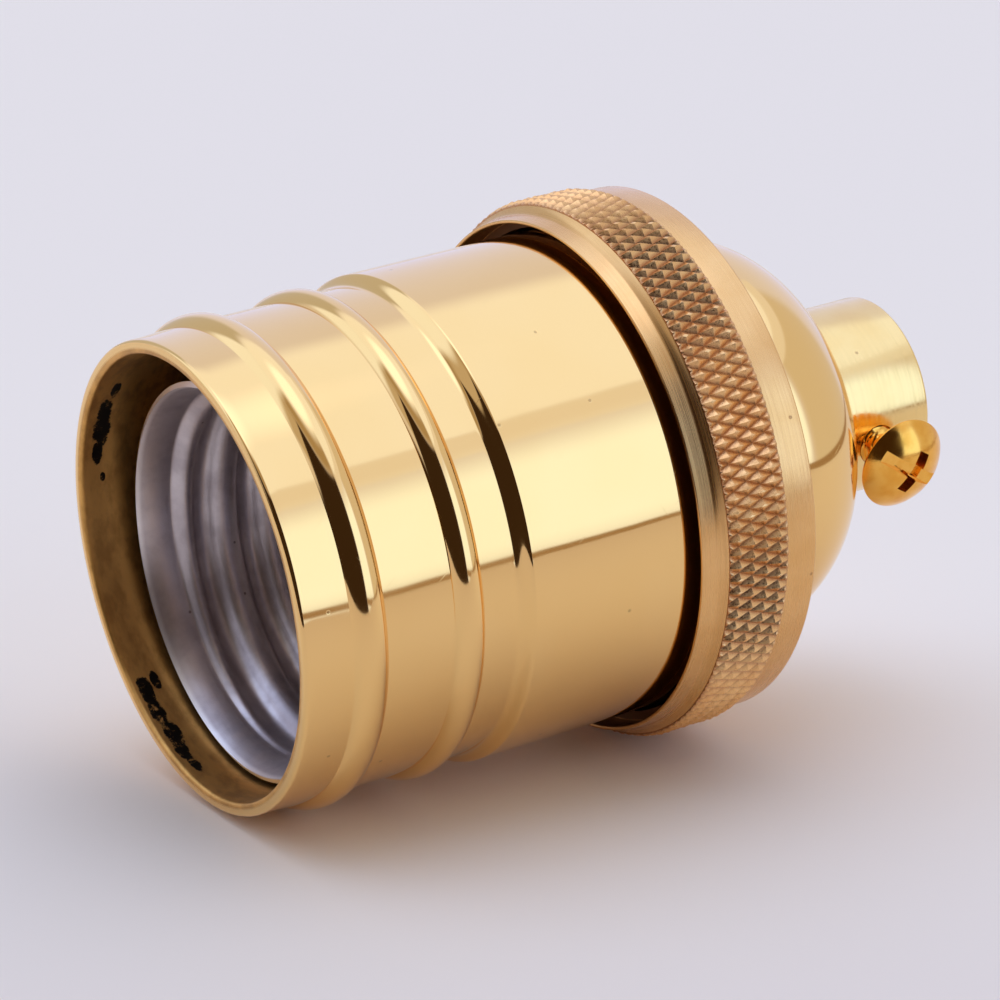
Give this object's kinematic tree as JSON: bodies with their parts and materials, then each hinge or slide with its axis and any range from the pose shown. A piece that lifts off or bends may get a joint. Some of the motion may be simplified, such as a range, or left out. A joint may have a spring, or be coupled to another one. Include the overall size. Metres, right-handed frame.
{
  "type": "lamp holder",
  "caption": "Turned brass screw-thread lamp holder: tubular sleeve with two round beads, diamond-knurled union ring, domed cap and a threaded neck with a cross lock screw.",
  "frame": {"origin": "centre of the sleeve's mouth, in the plane of its rim, on which the holder stands", "axes": "+Z along the holder's axis from the mouth to the neck, +X out along the lock screw in the neck, +Y completes the right-handed frame"},
  "size_m": [0.04, 0.04, 0.0581],
  "materials": {
    "polished_brass": "polished, with fine scratches and tarnish inside",
    "turned_brass": "turned and knurled, unpolished",
    "satin_brass": "satin, turned",
    "screw_brass": "bright, orange-gold",
    "terminal_brass": "stamped, plain",
    "rivet_brass": "dull, set",
    "contact_bronze": "rolled phosphor bronze strip",
    "shell_aluminium": "drawn and rolled, matte",
    "screw_steel": "zinc plated",
    "ceramic": "glazed white ceramic"
  },
  "bodies": {
    "holder": {"sleeve": "polished_brass", "ceramic_core": "ceramic", "screw_shell": "shell_aluminium", "centre_contact": "contact_bronze", "live_rivet": "rivet_brass", "neutral_rivet": "rivet_brass", "shell_rivets": "rivet_brass", "live_terminal": "terminal_brass", "neutral_terminal": "terminal_brass"},
    "contact": {"contact_button": "rivet_brass"},
    "live_clamp": {"live_terminal_screw": "screw_steel", "live_clamp_washer": "screw_steel"},
    "neutral_clamp": {"neutral_terminal_screw": "screw_steel", "neutral_clamp_washer": "screw_steel"},
    "cap": {"dome_cap": "polished_brass", "neck_bush": "satin_brass", "neck_nut": "screw_steel", "earth_bracket": "screw_steel"},
    "ring": {"knurled_ring": "turned_brass"},
    "earth_clamp": {"earth_screw": "screw_steel", "earth_washer": "screw_steel"},
    "lock": {"lock_screw": "screw_brass"}
  },
  "joints": [
    {"name": "cap_lift", "type": "slide", "parent": "holder", "child": "cap", "axis": [0, 0, 1], "range_m": [0, 0.00351]},
    {"name": "ring_turn", "type": "hinge", "parent": "cap", "child": "ring", "pos_m": [0, 0, 0.0345], "axis": [0, 0, 1], "range_deg": [0, 1260]},
    {"name": "lock_screw_travel", "type": "slide", "parent": "cap", "child": "lock", "axis": [1, 0, 0], "range_m": [-0.0012, 0.0015]},
    {"name": "live_screw_lift", "type": "slide", "parent": "holder", "child": "live_clamp", "axis": [0, 0, 1], "range_m": [0, 0.0015]},
    {"name": "neutral_screw_lift", "type": "slide", "parent": "holder", "child": "neutral_clamp", "axis": [0, 0, 1], "range_m": [0, 0.0015]},
    {"name": "earth_screw_travel", "type": "slide", "parent": "cap", "child": "earth_clamp", "axis": [0, 0, -1], "range_m": [0, 0.0008]},
    {"name": "contact_press", "type": "slide", "parent": "holder", "child": "contact", "axis": [0, 0, 1], "range_m": [0, 0.0018], "stiffness_N_per_m": 1500, "deforming": ["centre_contact"]}
  ],
  "couplings": [
    {"joint": "cap_lift", "follows": "ring_turn", "m_per_rad": 0.00015915}
  ]
}
